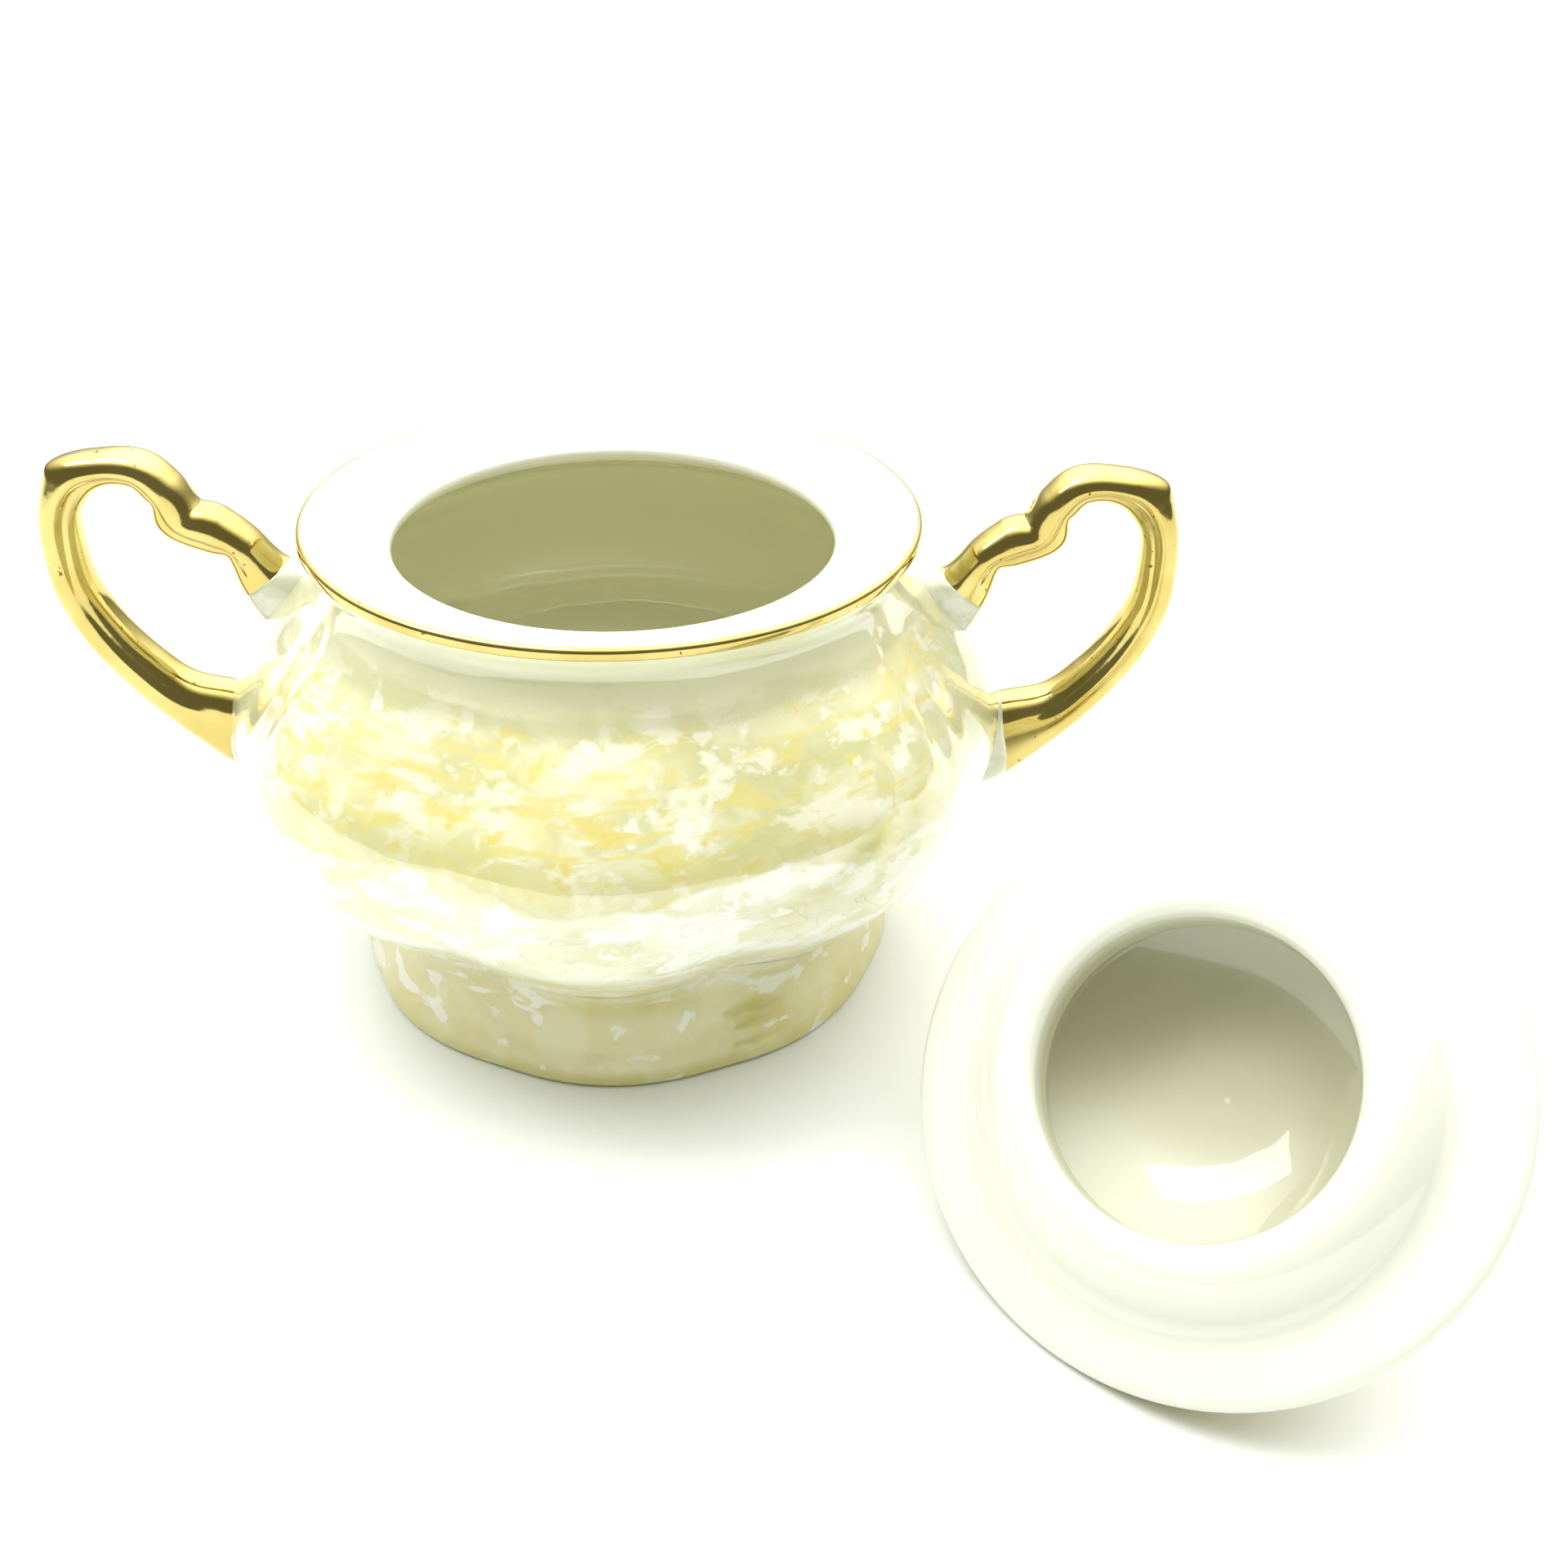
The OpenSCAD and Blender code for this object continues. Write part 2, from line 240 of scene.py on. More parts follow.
floor_in = [[corner_r - 1.2, 9.4], [corner_r - 3.2, 7.6], [corner_r - 6, 6.8], [corner_r - 10, FLOOR_Z]]
floor_in += [[r, FLOOR_Z] for r in (20, 14, 8, 3)]
inner = np.vstack([resample(rim, 34), resample(shelf, 26), lip, np.c_[inside, inside_z], floor_in])
inner_rings = ring_points(inner[:, :1], inner[:, 1])
foot_rings = ring_points(foot[:, :1], foot[:, 1])
bowl_rings = np.concatenate([foot_rings, ring_points(out_r, out_z), inner_rings])
bowl = surface("lustred_bowl", bowl_rings, poles=((0, 0, HOLLOW_Z), (0, 0, FLOOR_Z)))
first_inner = len(foot) + len(out_z)
glaze = np.zeros((len(bowl_rings), AROUND))
run = np.r_[0, np.cumsum(np.linalg.norm(np.diff(inner, axis=0), axis=1))]
# how far over the rim a point is, in mm along the profile, for the plain white inside
glaze[first_inner:] = np.minimum(run[:, None] + 0.2, 5.0)
mark(bowl, "inner_run", glaze)
# height above the wavy upper edge of the painted reflection of the floor, which dips on each lobe
above = np.full(bowl_rings.shape[:2], 60.0)
into_valley = lobe(30.0, turn)[None, :]
above[len(foot) : first_inner] = out_z[:, None] - FLOOR_REFLECTION_Z - FLOOR_REFLECTION_DIP * into_valley
mark(bowl, "above_floor_reflection", above)

# ---------------------------------------------------------------- gilt line at the rim
wave = 0.14 * np.sin(5 * turn + 0.6) + 0.1 * np.sin(11 * turn + 2.1) + 0.06 * np.sin(23 * turn)


def gilt_band(name, z_low, in_r, lift, ragged):
    """A thin closed band of gold laid over the bowl's edge: its section follows the
    rim's rounding from z_low up and in to the radius in_r, and closes under the
    glaze. The inner edge wanders by a few tenths of a millimetre."""
    outer = [[RIM_R - 0.03, z_low], [RIM_R + lift, z_low + 0.15]]
    outer += arc(RIM_R - 0.7, BOWL_H - 0.7, 0.7 + lift, 5, 90, 9)
    loops = np.repeat(np.array(outer)[:, None, :], AROUND, 1)
    end = np.stack([in_r + ragged * wave, np.full(AROUND, BOWL_H - 0.05 + lift)], -1)
    shut = np.stack([in_r + 0.1 + ragged * wave, np.full(AROUND, BOWL_H - 0.5)], -1)
    low = np.repeat(np.array([[RIM_R - 0.6, z_low]])[:, None, :], AROUND, 1)
    loops = np.concatenate([loops, end[None], shut[None], low])
    r, z = loops[..., 0], loops[..., 1]
    return surface(name, np.stack([r * np.cos(turn), r * np.sin(turn), z], -1), closed=True)


gilding = gilt_band("gilt_rim", BOWL_H - 1.45, RIM_R - 0.65, 0.04, 0.5)

# ---------------------------------------------------------------- handles
UPPER_Z = BOWL_H - 11.5
LOWER_Z = 34.5
SINK = 2.5
REACH_R = BELLY_R + 21
ARCH_Z = BOWL_H + 4.4
UPPER_R = float(curve(CROWN, UPPER_Z)) - SINK
LOWER_R = float(curve(CROWN, LOWER_Z)) - SINK
# share of the reach, share of the rise, thickness and width of the bar
UPPER_ARM = [
    [0.04, -0.28, 2.2, 1.06],
    [0.19, -0.03, 1.38, 1.02],
    [0.28, 0.3, 0.9, 0.97],
    [0.38, 0.43, 1.15, 1],
    [0.49, 0.54, 1.12, 1],
    [0.55, 0.8, 0.95, 1],
    [0.63, 0.97, 0.85, 1],
    [0.76, 0.99, 0.8, 1],
    [0.89, 0.88, 1, 1.02],
]
LOWER_ARM = [
    [0.95, 0.84, 0.88, 1.02],
    [0.98, 0.7, 0.88, 1.02],
    [0.96, 0.54, 0.94, 1.03],
    [0.85, 0.38, 1.03, 1.05],
    [0.69, 0.24, 1.1, 1.08],
    [0.5, 0.12, 1.27, 1.11],
    [0.28, 0.04, 1.85, 1.16],
    [0.07, -0.02, 2.35, 1.2],
    [-0.22, -0.07, 2.1, 1.2],
]
STATIONS = [[mix(UPPER_R, REACH_R, s[0]), mix(UPPER_Z, ARCH_Z, s[1]), s[2], s[3]] for s in UPPER_ARM]
STATIONS += [[mix(LOWER_R, REACH_R, s[0]), mix(LOWER_Z, ARCH_Z, s[1]), s[2], s[3]] for s in LOWER_ARM]
LAST = len(STATIONS) - 1
BAR_SIDES = 72
BAR_SQUARE = 2.5  # 2 would be an ellipse, larger is squarer
HOOK_T = 4.15  # places along the stations: the thumb's hook, and the outer corner
CORNER_T = 8.1


def station(t, k):
    """Column k of the stations, as a smooth line through them at the place t."""
    return curve([[i, s[k]] for i, s in enumerate(STATIONS)], t)


def hump(x, middle, width):
    """A bell curve, 1 at the middle."""
    return np.exp(-(((x - middle) / width) ** 2))


def bar_rings(t, grow=0.0):
    """Rings round a handle's bar in the plane y = 0, at the places t along its
    stations: the middle line, plus outward times its normal, plus sideways along Y.
    The section is a rounded rectangle, a cosine and a sine each raised to a power.
    Its inner third is a narrower tongue, so that a crease runs along both faces, and
    bell curves along t add the hook under the thumb and the outer corner."""
    t = np.asarray(t, float)
    t = t[:, None] if t.ndim == 1 else t
    step = 0.01
    x, z = station(t, 0), station(t, 1)
    dx = station(np.minimum(t + step, LAST), 0) - station(np.maximum(t - step, 0), 0)
    dz = station(np.minimum(t + step, LAST), 1) - station(np.maximum(t - step, 0), 1)
    d = np.hypot(dx, dz)
    a = np.linspace(0, 2 * math.pi, BAR_SIDES, endpoint=False)[None, :]
    power = 2 / BAR_SQUARE
    c = np.sign(np.cos(a)) * np.abs(np.cos(a)) ** power
    s = np.sign(np.sin(a)) * np.abs(np.sin(a)) ** power
    fade = smooth(0.7, 2.2, t) * smooth(1.7, 3.5, LAST - t) * mix(1.0, 0.45, smooth(9, 11, t))
    tongue = 1 - 0.26 * fade * smooth(-0.1, -0.42, c)
    roll = 1 + 0.035 * fade * hump(c, 0.05, 0.22)
    corner = 0.7 * np.exp(-(np.abs((t - CORNER_T) / 0.28) ** 1.4)) * np.clip(c, 0, 1) ** 2
    hook = 0.5 * hump(t, HOOK_T, 0.3) - 0.5 * hump(t, HOOK_T + 0.6, 0.3)
    notch = 0.3 * hump(t, HOOK_T - 0.45, 0.3) * np.clip(c, 0, 1)
    outward = c * (station(t, 2) * HANDLE_T / 2 + grow)
    outward = outward + corner - hook * np.clip(-c, 0, 1) ** 2 - notch
    pinch = 1 - 0.16 * hump(t, CORNER_T + 0.1, 0.45) * np.clip(c, 0, 1)
    sideways = s * (station(t, 3) * HANDLE_W / 2 + grow) * tongue * roll * pinch
    return np.stack([x - dz / d * outward, sideways, z + dx / d * outward], -1)


def turned(points, sign):
    """The right handle's points, or the same turned half round for the left one."""
    return np.asarray(points) * np.array([sign, sign, 1.0])


def side_pieces(side, sign):
    """One handle with its two lustred sockets, where the bar grows out of the bowl. A
    socket is the bar's own skin, swollen more the nearer it is to the bowl, and its
    last ring tucks in under the gold."""
    t = np.linspace(0, LAST, 300)
    rings = turned(bar_rings(t), sign)
    bar = surface(f"gilt_handle_{side}", rings, poles=(rings[0].mean(0), rings[-1].mean(0)))
    pieces = [bar]
    # the lower one is cut at a slant, so that it runs out thin under the bar
    for place, t0, t1, slant in (("upper", 0.0, 1.08, 0.0), ("lower", LAST, LAST - 1.5, 0.4)):
        away = np.linspace(0, 1, 18)[:, None]
        swell = 0.7 * (1 - away) ** 1.6 + 0.25 * np.cos(away**4 * math.pi / 2)
        outward = np.cos(np.linspace(0, 2 * math.pi, BAR_SIDES, endpoint=False))[None, :]
        along = np.minimum(mix(t0, t1, away) + slant * away * outward, LAST)
        grown = bar_rings(along, 0.05 + swell)
        tucked = bar_rings(along[-1:], -0.4)
        grown = turned(np.concatenate([grown, tucked]), sign)
        ends = (grown[0].mean(0), grown[-1].mean(0))
        socket = surface(f"socket_{side}_{place}", grown, poles=ends, flip=t1 < t0)
        pieces.append(socket)
    return pieces


right_handle, *right_sockets = side_pieces("right", 1.0)
left_handle, *left_sockets = side_pieces("left", -1.0)

# ---------------------------------------------------------------- the lid
LID_SIDES = 256
ball_z = DOME_H + KNOB_H - KNOB_R
# it leans until its knob and the edge of its flange both touch the floor
rise = ball_z - EDGE_R
lean = math.atan2(rise, FLANGE_R) + math.asin((KNOB_R - EDGE_R) / math.hypot(FLANGE_R, rise))
lid_away = BELLY_R + LID_GAP + FLANGE_R + EDGE_R
bearing = math.radians(LID_BEARING)
lid_z = FLANGE_R * math.sin(lean) + EDGE_R * math.cos(lean) + EDGE_R
LID_AT = (lid_away * math.cos(bearing), lid_away * math.sin(bearing), lid_z)
facing = math.radians(LID_FACING + 180)
turn_over = Matrix.Rotation(facing, 3, "Z") @ Matrix.Rotation(math.pi - lean, 3, "Y")
LID_TURN = np.array(turn_over)


def laid_down(points):
    """From the lid's own place, right way up with its flange at height 0, to where it
    lies beside the bowl."""
    return np.asarray(points) @ LID_TURN.T + np.array(LID_AT)


def spun(profile, cols=LID_SIDES):
    """A profile of [radius, height] spun round the Z axis, one ring to a point."""
    a = np.linspace(0, 2 * math.pi, cols, endpoint=False)
    r = np.array(profile)[:, :1]
    z = np.array(profile)[:, 1:]
    return np.stack([r * np.cos(a), r * np.sin(a), z + 0 * a], -1)


def dome_z(r):
    """Height of the lid's top at the radius r: half a cosine wave, from the flange up
    to the middle, with the radius raised to a power that keeps the dome full."""
    return FLANGE_T + (DOME_H - FLANGE_T) * (1 + np.cos(math.pi * (np.asarray(r) / FLANGE_R) ** 1.7)) / 2


hollow_r = HOLE_R + 3
roof_r = np.linspace(0.5, hollow_r - 0.4, 30)
roof = np.c_[roof_r, np.maximum(dome_z(roof_r) - LID_WALL - 0.03 * roof_r, 5.5)]
under = roof.tolist() + [[hollow_r, 5.0], [hollow_r - 0.2, 4.1], [hollow_r - 0.9, 3.2]]
under += [[HOLE_R + 1.3, 2.2], [HOLE_R + 0.35, 1.2]]
# the rolled collar: share of its width, and share of its height
COLLAR_ROLL = [[0, 0.74], [0.06, 0.89], [0.14, 0.97], [0.26, 1], [0.4, 0.97]]
COLLAR_ROLL += [[0.55, 0.86], [0.7, 0.66], [0.83, 0.42], [0.93, 0.2]]
under += [[HOLE_R, 0.3], [HOLE_R, -2.0], [HOLE_R, -3.2]]
roll_at = np.linspace(0, 0.93, 30)
under += np.c_[HOLE_R + COLLAR_W * roll_at, -COLLAR_H * curve(COLLAR_ROLL, roll_at)].tolist()
under += [[COLLAR_R + 0.1, -0.5], [COLLAR_R + 1.0, -0.1], [COLLAR_R + 2.2, 0.05], [FLANGE_R - 1.5, 0.0]]
under = resample(under, 150)
edge = resample(arc(FLANGE_R, EDGE_R, EDGE_R, -90, 78, 20), 24)
dome_r = np.linspace(FLANGE_R * 0.985, 3.0, 60)
top = np.c_[dome_r, dome_z(dome_r)]
lid_profile = np.vstack([under, edge, top])
lid_rings = laid_down(spun(lid_profile))
lid_poles = laid_down([[0, 0, roof[0][1]], [0, 0, DOME_H]])
lid = surface("lid_porcelain", lid_rings, poles=lid_poles)
lid_run = np.r_[0, np.cumsum(np.linalg.norm(np.diff(lid_profile, axis=0), axis=1))]
edge_at = lid_run[len(under) + 13]
mark(lid, "past_edge", np.repeat((lid_run - edge_at)[:, None], LID_SIDES, 1))
# how far inside the lid's hollow a point is, from 0 to 1; the material paints shade there
in_hollow = smooth(-3.4, -1.0, lid_profile[:, 1]) * smooth(HOLE_R + 3.4, HOLE_R + 3.2, lid_profile[:, 0])
in_hollow = in_hollow * (lid_run < edge_at)
mark(lid, "hollow", np.repeat(in_hollow[:, None], LID_SIDES, 1))

knob_profile = [[6.5, DOME_H - 1.6], [6.5, DOME_H + 0.1], [6.2, DOME_H + 0.6]]
knob_profile += [[5.4, DOME_H + 0.95], [4.5, DOME_H + 1.5]]
knob_profile += [[4.0, DOME_H + 2.4], [3.8, DOME_H + 3.5], [3.8, ball_z - 5.6]]
knob_profile += arc(0, ball_z, KNOB_R, -54, 88, 30)
knob_rings = laid_down(spun(resample(knob_profile, 70), 96))
knob_poles = laid_down([[0, 0, DOME_H - 1.6], [0, 0, ball_z + KNOB_R]])
knob = surface("gilt_knob", knob_rings, poles=knob_poles)


# ---------------------------------------------------------------- materials
def linear(colour, alpha=1.0):
    """A colour given as sRGB hex, as the linear numbers that shaders take."""
    parts = [int(colour[i : i + 2], 16) / 255 for i in (1, 3, 5)]
    parts = [c / 12.92 if c <= 0.04045 else ((c + 0.055) / 1.055) ** 2.4 for c in parts]
    return (*parts, alpha)


def material(name):
    """An empty node material, and its tree."""
    made = bpy.data.materials.new(name)
    made.use_nodes = True
    made.node_tree.nodes.clear()
    return made, made.node_tree


def add(tree, kind, inputs=None, **settings):
    """Adds one node. A socket in inputs is linked, and any other value is set."""
    node = tree.nodes.new(kind)
    for key, value in settings.items():
        setattr(node, key, value)
    for key, value in (inputs or {}).items():
        if isinstance(value, bpy.types.NodeSocket):
            tree.links.new(value, node.inputs[key])
        else:
            node.inputs[key].default_value = value
    return node


def size(mm):
    """The scale of a pattern whose features are about this many millimetres."""
    return 1000 / mm


def painted(tree, base, *coats):
    """A base colour with coats laid over it in turn. A coat is a colour and one or
    more amounts from 0 to 1, which are multiplied together."""
    below = linear(base) if isinstance(base, str) else base
    for colour, amount, *more in coats:
        for factor in more:
            inputs = {0: amount, 1: factor}
            amount = add(tree, "ShaderNodeMath", inputs, operation="MULTIPLY").outputs[0]
        colour = linear(colour) if isinstance(colour, str) else colour
        inputs = {0: amount, 6: below, 7: colour}
        below = add(tree, "ShaderNodeMix", inputs, data_type="RGBA").outputs[2]
    return below


def window(tree, value, low0, low1, high0, high1):
    """1 where value is between low1 and high0, fading to 0 at low0 and high1. The
    four are millimetres, and the value is in metres."""
    rise = {0: value, 1: low0 * MM, 2: low1 * MM}
    up = add(tree, "ShaderNodeMapRange", rise, interpolation_type="SMOOTHSTEP")
    fall = {0: value, 1: high0 * MM, 2: high1 * MM, 3: 1.0, 4: 0.0}
    down = add(tree, "ShaderNodeMapRange", fall, interpolation_type="SMOOTHSTEP")
    inputs = {0: up.outputs[0], 1: down.outputs[0]}
    return add(tree, "ShaderNodeMath", inputs, operation="MULTIPLY").outputs[0]


def patches(tree, vector, mm, low, high, detail=3.0, distortion=0.0, roughness=0.5):
    """Patches of cloud-like noise about mm across: 0 below low, 1 above high."""
    inputs = {
        "Vector": vector,
        "Scale": size(mm),
        "Detail": detail,
        "Distortion": distortion,
        "Roughness": roughness,
    }
    noise = add(tree, "ShaderNodeTexNoise", inputs)
    inputs = {0: noise.outputs[0], 1: low, 2: high}
    return add(tree, "ShaderNodeMapRange", inputs, interpolation_type="SMOOTHSTEP").outputs[0]


def waved(tree, vector, mm, swing, value, detail):
    """The value with noise added to it: features mm across, times swing."""
    inputs = {"Vector": vector, "Scale": size(mm), "Detail": detail}
    noise = add(tree, "ShaderNodeTexNoise", inputs)
    inputs = {0: noise.outputs[0], 1: swing, 2: value}
    return add(tree, "ShaderNodeMath", inputs, operation="MULTIPLY_ADD").outputs[0]


def wavy_surface(tree, vector, mm, depth_mm):
    """A bump of soft waves mm across and depth_mm deep, as a normal."""
    noise = add(tree, "ShaderNodeTexNoise", {"Vector": vector, "Scale": size(mm), "Detail": 2.0})
    inputs = {"Strength": 1.0, "Distance": depth_mm * MM, "Height": noise.outputs[0]}
    return add(tree, "ShaderNodeBump", inputs).outputs[0]


def glazed(tree, colour, vector, depth_mm, coat):
    """Glazed ceramic: a coloured body under a hard clear coat, which gives a sharp
    reflection on a soft colour. Low waves in the glaze, 8 mm across, bend it."""
    normal = wavy_surface(tree, vector, 8, depth_mm)
    inputs = {
        "Base Color": colour,
        "Roughness": 0.3,
        "Coat Weight": 1.0,
        "Coat Roughness": 0.03,
        "Coat IOR": coat,
        "Normal": normal,
        "Coat Normal": normal,
    }
    return add(tree, "ShaderNodeBsdfPrincipled", inputs)


def contour_lines(tree, vector):
    """Thin lines where smooth noise, cut into 14 steps, turns from step to step."""
    inputs = {"Vector": vector, "Scale": size(15), "Detail": 6.0, "Distortion": 0.6}
    noise = add(tree, "ShaderNodeTexNoise", inputs)
    inputs = {0: noise.outputs[0], 1: 14.0}
    steps = add(tree, "ShaderNodeMath", inputs, operation="MULTIPLY")
    fold = add(tree, "ShaderNodeMath", {0: steps.outputs[0], 1: 1.0}, operation="PINGPONG")
    inputs = {0: fold.outputs[0], 1: 0.88, 2: 0.98}
    return add(tree, "ShaderNodeMapRange", inputs, interpolation_type="SMOOTHSTEP").outputs[0]


def lustre_colour(tree, vector):
    """The sponged nacreous lustre: cream with white and olive-beige clouds, dabs and streaks of yellow
    ochre, and fine pearly contour lines low down. Light and shade are painted in too: a reflection of
    the floor low on the belly, and shade beside the handles and on the neck."""
    place = add(tree, "ShaderNodeSeparateXYZ", {0: vector})
    height = place.outputs[2]
    inputs = {0: vector, 1: (1.0, 1.0, 1.9)}
    stretched = add(tree, "ShaderNodeVectorMath", inputs, operation="MULTIPLY").outputs[0]
    inputs = {0: vector, 1: (1.0, 1.0, 5.0)}
    flat = add(tree, "ShaderNodeVectorMath", inputs, operation="MULTIPLY").outputs[0]
    belly = window(tree, height, 37, 43, 58, 64)
    colour = painted(
        tree,
        "#EEECC4",
        ("#D9D7A0", patches(tree, stretched, 16, 0.45, 0.6, 4.0)),
        ("#EFE499", patches(tree, stretched, 9, 0.46, 0.62, 4.0), belly, 0.55),
        ("#D4D29A", patches(tree, vector, 6, 0.52, 0.62, 3.0, 0.3), 0.5),
        ("#F9F9E4", patches(tree, stretched, 8, 0.52, 0.6, 5.0, 0.3, 0.6), 0.8),
    )
    # small white dabs, and ochre ones in clusters and streaks
    clusters = patches(tree, vector, 14, 0.42, 0.56)
    streaked = window(tree, height, 43, 47, 55, 60)
    colour = painted(
        tree,
        colour,
        ("#FCFCF0", patches(tree, vector, 3.4, 0.54, 0.64), patches(tree, vector, 16, 0.44, 0.56), 0.8),
        ("#EADA78", patches(tree, stretched, 3.8, 0.54, 0.66), clusters, belly, 0.9),
        ("#ECDD82", patches(tree, flat, 8, 0.55, 0.63), streaked, 0.7),
    )
    # painted reflection of the white floor low on the belly: a pale band with lustre blotches and a
    # ragged edge, under a darker line of painted shade
    above = add(tree, "ShaderNodeAttribute", attribute_name="above_floor_reflection").outputs["Fac"]
    above = waved(tree, vector, 7, 4.0, above, 4.0)
    above = add(tree, "ShaderNodeMath", {0: above, 1: MM}, operation="MULTIPLY").outputs[0]
    floor_reflection = painted(
        tree,
        "#EEEED2",
        ("#E0DDAE", patches(tree, stretched, 13, 0.46, 0.62, 4.0)),
        ("#FBFCF4", patches(tree, stretched, 7, 0.5, 0.56, 5.0, 0.5, 0.6)),
    )
    below = add(tree, "ShaderNodeMapRange", {0: above, 1: 2.4 * MM, 2: 1.6 * MM}).outputs[0]
    # painted shade: beside the handles the colour is greyed
    inputs = {0: place.outputs[0]}
    across = add(tree, "ShaderNodeMath", inputs, operation="ABSOLUTE").outputs[0]
    beside = window(tree, across, 36, 48, 200, 210)
    # the foot and the waist are ochre, with white blotches
    foot_colour = painted(
        tree,
        "#D2C672",
        ("#D9D18C", patches(tree, vector, 9, 0.45, 0.6, 4.0)),
        ("#EDEFE0", patches(tree, stretched, 8, 0.57, 0.62, 5.0, 0.5), 0.85),
    )
    colour = painted(
        tree,
        colour,
        # painted shade: a darker line just above the painted floor reflection
        ("#CFCB86", window(tree, above, 1.6, 2.4, 4.5, 9.0), 0.5),
        # painted reflection of the white floor, below the wavy edge
        (floor_reflection, below, 0.85),
        # painted shade beside the handles, from 30 to 40 mm up
        ("#BFBF9C", beside, window(tree, height, 30, 40, 200, 210), 0.55),
        (foot_colour, window(tree, height, -10, -5, 11, 17), 0.9),
        ("#C9C7A0", contour_lines(tree, stretched), window(tree, height, 10, 15, 36, 43), 0.55),
        # painted shade: darker from 64 mm up, on the neck
        ("#E6E6C2", window(tree, height, 58, 64, 200, 210)),
    )
    # two soft bands of painted shade under the rim, one at the crease where the neck meets the shoulder
    drift = waved(tree, flat, 30, 6 * MM, height, 3.0)
    for low, high in ((62.2, 64.8), (67.2, 69.2)):
        fade = (high - low) / 3
        band = window(tree, drift, low, low + fade, high - fade, high)
        colour = painted(tree, colour, ("#CCCBA0", band, 0.4))
    return colour


# mother-of-pearl lustre over a porcelain glaze: a pale body under a film of metal
# oxide, which mirrors more than plain glaze does, so its coat's IOR is high
lustre, tree = material("mother_of_pearl_lustre_glaze")
vector = add(tree, "ShaderNodeTexCoord").outputs["Object"]
outside = lustre_colour(tree, vector)
run_in = add(tree, "ShaderNodeAttribute", attribute_name="inner_run").outputs["Fac"]
white = add(tree, "ShaderNodeMapRange", {0: run_in, 1: 0.3, 2: 1.2}).outputs[0]
height = add(tree, "ShaderNodeSeparateXYZ", {0: vector}).outputs[2]
# inside, the white glaze is darkened to beige below about 64 mm, the shelf and lip staying white:
# painted shade down in the bowl
inside_glaze_and_shade = painted(tree, "#F2F3E4", ("#E4E3C2", window(tree, height, -10, 0, 63.5, 65.5)))
colour = painted(tree, outside, (inside_glaze_and_shade, white))
shader = glazed(tree, colour, vector, 0.12, 1.9)
add(tree, "ShaderNodeOutputMaterial", {"Surface": shader.outputs[0]})

# the same lustre where it runs thin over the handle roots: grey-green and milky
thin_lustre, tree = material("thin_lustre_glaze")
vector = add(tree, "ShaderNodeTexCoord").outputs["Object"]
colour = painted(tree, "#D4D7BF", ("#ECEEDD", patches(tree, vector, 5, 0.45, 0.6)))
shader = glazed(tree, colour, vector, 0.1, 1.55)
add(tree, "ShaderNodeOutputMaterial", {"Surface": shader.outputs[0]})

# fired gold, burnished to a mirror, with tiny worn specks that are dull and brown
gold, tree = material("burnished_gold")
vector = add(tree, "ShaderNodeTexCoord").outputs["Object"]
wear = patches(tree, vector, 1.1, 0.7, 0.74, 2.0)
colour = painted(tree, "#CDBB76", ("#C4B068", patches(tree, vector, 8, 0.4, 0.6)), ("#8A6A1C", wear))
inputs = {
    "Base Color": colour,
    "Metallic": 1.0,
    "Roughness": add(tree, "ShaderNodeMapRange", {0: wear, 3: 0.1, 4: 0.45}).outputs[0],
    "Normal": wavy_surface(tree, vector, 3, 0.03),
}
shader = add(tree, "ShaderNodeBsdfPrincipled", inputs)
add(tree, "ShaderNodeOutputMaterial", {"Surface": shader.outputs[0]})

# ivory-white glaze under the lid and in its hollow, with painted shade darkening the hollow; the lustre
# of its top creeps a millimetre or so past the edge of the flange
ivory, tree = material("ivory_white_glaze")
vector = add(tree, "ShaderNodeTexCoord").outputs["Object"]
past = add(tree, "ShaderNodeAttribute", attribute_name="past_edge").outputs["Fac"]
inputs = {"Vector": vector, "Scale": size(9), "Detail": 5.0, "Roughness": 0.6}
creep = add(tree, "ShaderNodeTexNoise", inputs).outputs[0]
inputs = {0: creep, 1: 3.0, 2: -1.5}
reach = add(tree, "ShaderNodeMath", inputs, operation="MULTIPLY_ADD").outputs[0]
edge_line = add(tree, "ShaderNodeMath", {0: past, 1: reach}, operation="ADD").outputs[0]
top_side = add(tree, "ShaderNodeMapRange", {0: edge_line, 1: -0.1, 2: 0.1}).outputs[0]
hollow_shade = add(tree, "ShaderNodeAttribute", attribute_name="hollow").outputs["Fac"]
top_lustre = painted(
    tree,
    "#EFE7BE",
    ("#F5F2DF", patches(tree, vector, 9, 0.5, 0.56, 4.0)),
    ("#E8C76A", patches(tree, vector, 3.2, 0.58, 0.64), 0.7),
)
# painted shade: the glaze is darker in the hollow
colour = painted(tree, "#E8EADC", ("#C9C9AE", hollow_shade), (top_lustre, top_side))
shader = glazed(tree, colour, vector, 0.05, 1.55)
add(tree, "ShaderNodeOutputMaterial", {"Surface": shader.outputs[0]})

# matt white paper, for the floor
paper, tree = material("pale_paper_floor")
shader = add(tree, "ShaderNodeBsdfPrincipled", {"Base Color": linear("#ECEFEF"), "Roughness": 0.9})
add(tree, "ShaderNodeOutputMaterial", {"Surface": shader.outputs[0]})

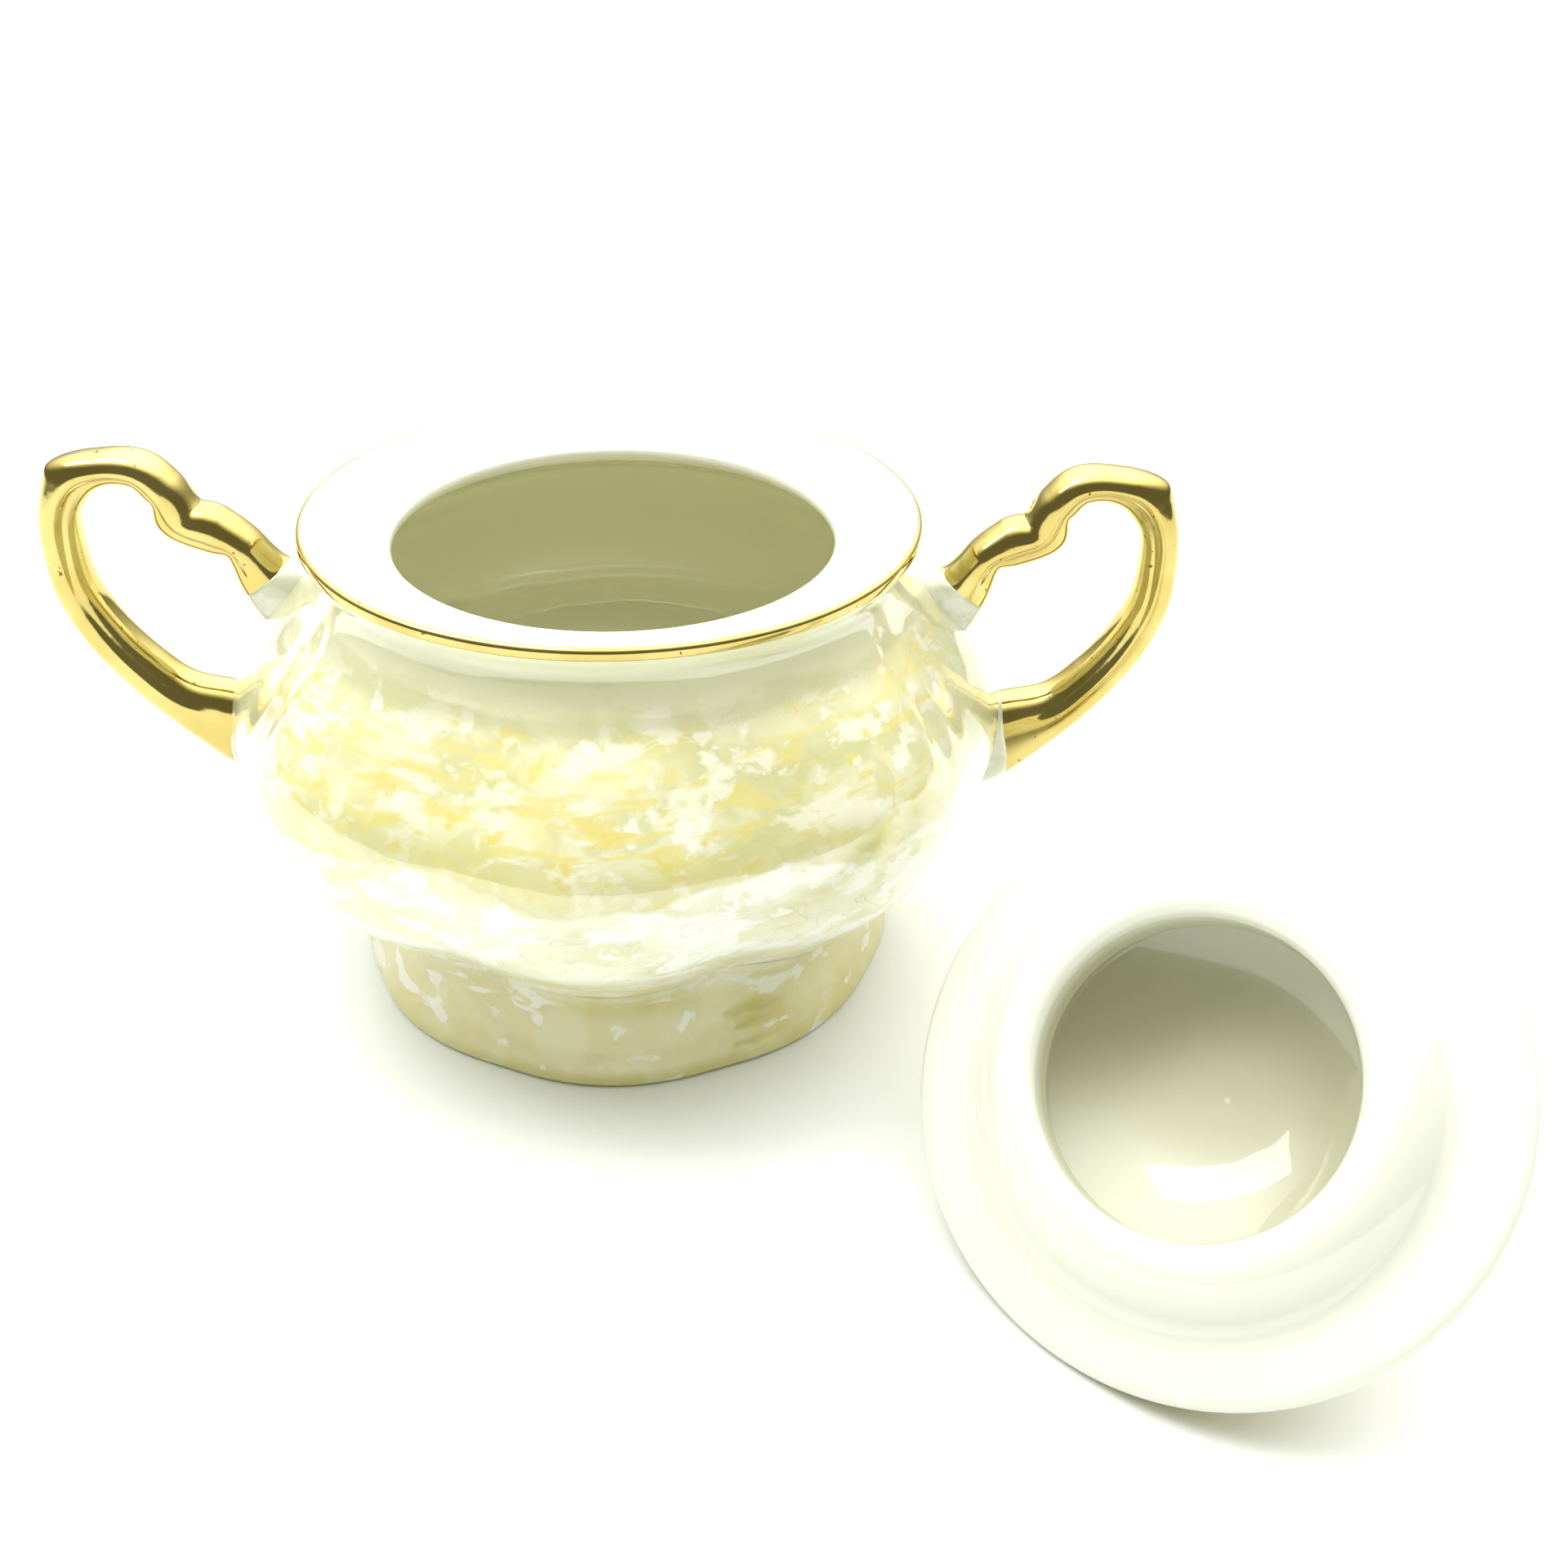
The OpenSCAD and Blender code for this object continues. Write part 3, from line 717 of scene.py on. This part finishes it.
# ---------------------------------------------------------------- bodies, slots and finishes
sockets = right_sockets + left_sockets
for piece in [bowl, gilding, right_handle, left_handle] + sockets:
    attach(piece, "bowl")
for piece in (lid, knob):
    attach(piece, "lid")
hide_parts("bowl_body")
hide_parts("right_handle")
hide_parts("left_handle")
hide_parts("lid_shell")
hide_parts("lid_knob")
finishes = (
    ([bowl], "lustre_glaze", lustre),
    (sockets, "lustre_glaze", thin_lustre),
    ([gilding, right_handle, left_handle, knob], "burnished_gold", gold),
    ([lid], "white_glaze", ivory),
)
for pieces, slot, finish in finishes:
    for piece in pieces:
        piece.data.materials.append(finish)

# ---------------------------------------------------------------- floor, light, camera
half = 30.0
corners = [(-half, -half, 0), (half, -half, 0), (half, half, 0), (-half, half, 0)]
floor_mesh = bpy.data.meshes.new("floor")
floor_mesh.from_pydata(corners, [], [(0, 1, 2, 3)])
floor_mesh.materials.append(paper)
floor = bpy.data.objects.new("floor", floor_mesh)
bpy.context.scene.collection.objects.link(floor)

# a soft window, above and to the left
window_light = bpy.data.lights.new("window", "AREA")
window_light.energy = 3.8
window_light.shape = "RECTANGLE"
window_light.size = 0.75
window_light.size_y = 0.3
window_lamp = bpy.data.objects.new("window", window_light)
window_lamp.location = (-0.48, 0.0, 0.92)
window_lamp.rotation_euler = [math.radians(a) for a in (-4, -32, 0)]
bpy.context.scene.collection.objects.link(window_lamp)

# a room that is dim all round and bright overhead, towards the back
world = bpy.data.worlds.new("bright_ceiling")
world.use_nodes = True
room = world.node_tree
room.nodes.clear()
direction = add(room, "ShaderNodeTexCoord").outputs["Generated"]
inputs = {0: direction, 1: (0.0, 0.42, 0.907)}
towards = add(room, "ShaderNodeVectorMath", inputs, operation="DOT_PRODUCT").outputs["Value"]
inputs = {0: towards, 1: 0.25, 2: 0.95}
ceiling = add(room, "ShaderNodeMapRange", inputs, interpolation_type="SMOOTHSTEP").outputs[0]
inputs = {0: ceiling, 1: 3.0, 2: 0.45}
strength = add(room, "ShaderNodeMath", inputs, operation="MULTIPLY_ADD").outputs[0]
inputs = {0: painted(room, "#B4B49A", ("#FFFFFF", ceiling)), 1: strength}
glow = add(room, "ShaderNodeBackground", inputs)
add(room, "ShaderNodeOutputWorld", {"Surface": glow.outputs[0]})
bpy.context.scene.world = world

camera_data = bpy.data.cameras.new("camera")
camera_data.sensor_width = 36.0
camera_data.lens = 34.69
camera_data.clip_start = 0.01
camera_data.clip_end = 200.0
camera = bpy.data.objects.new("camera", camera_data)
bpy.context.scene.collection.objects.link(camera)
bpy.context.scene.camera = camera
pitch = math.radians(33.18)
roll = math.radians(1.69)
heading = math.radians(1.816)
tilt = Matrix.Rotation(math.pi / 2 - pitch, 3, "X")
aim = Matrix.Rotation(-heading, 3, "Z") @ tilt @ Matrix.Rotation(roll, 3, "Z")
camera.matrix_world = Matrix.Translation((0.01830, -0.19580, 0.15239)) @ aim.to_4x4()

scene = bpy.context.scene
scene.view_settings.view_transform = "Standard"
scene.view_settings.look = "None"
scene.view_settings.exposure = 0.0
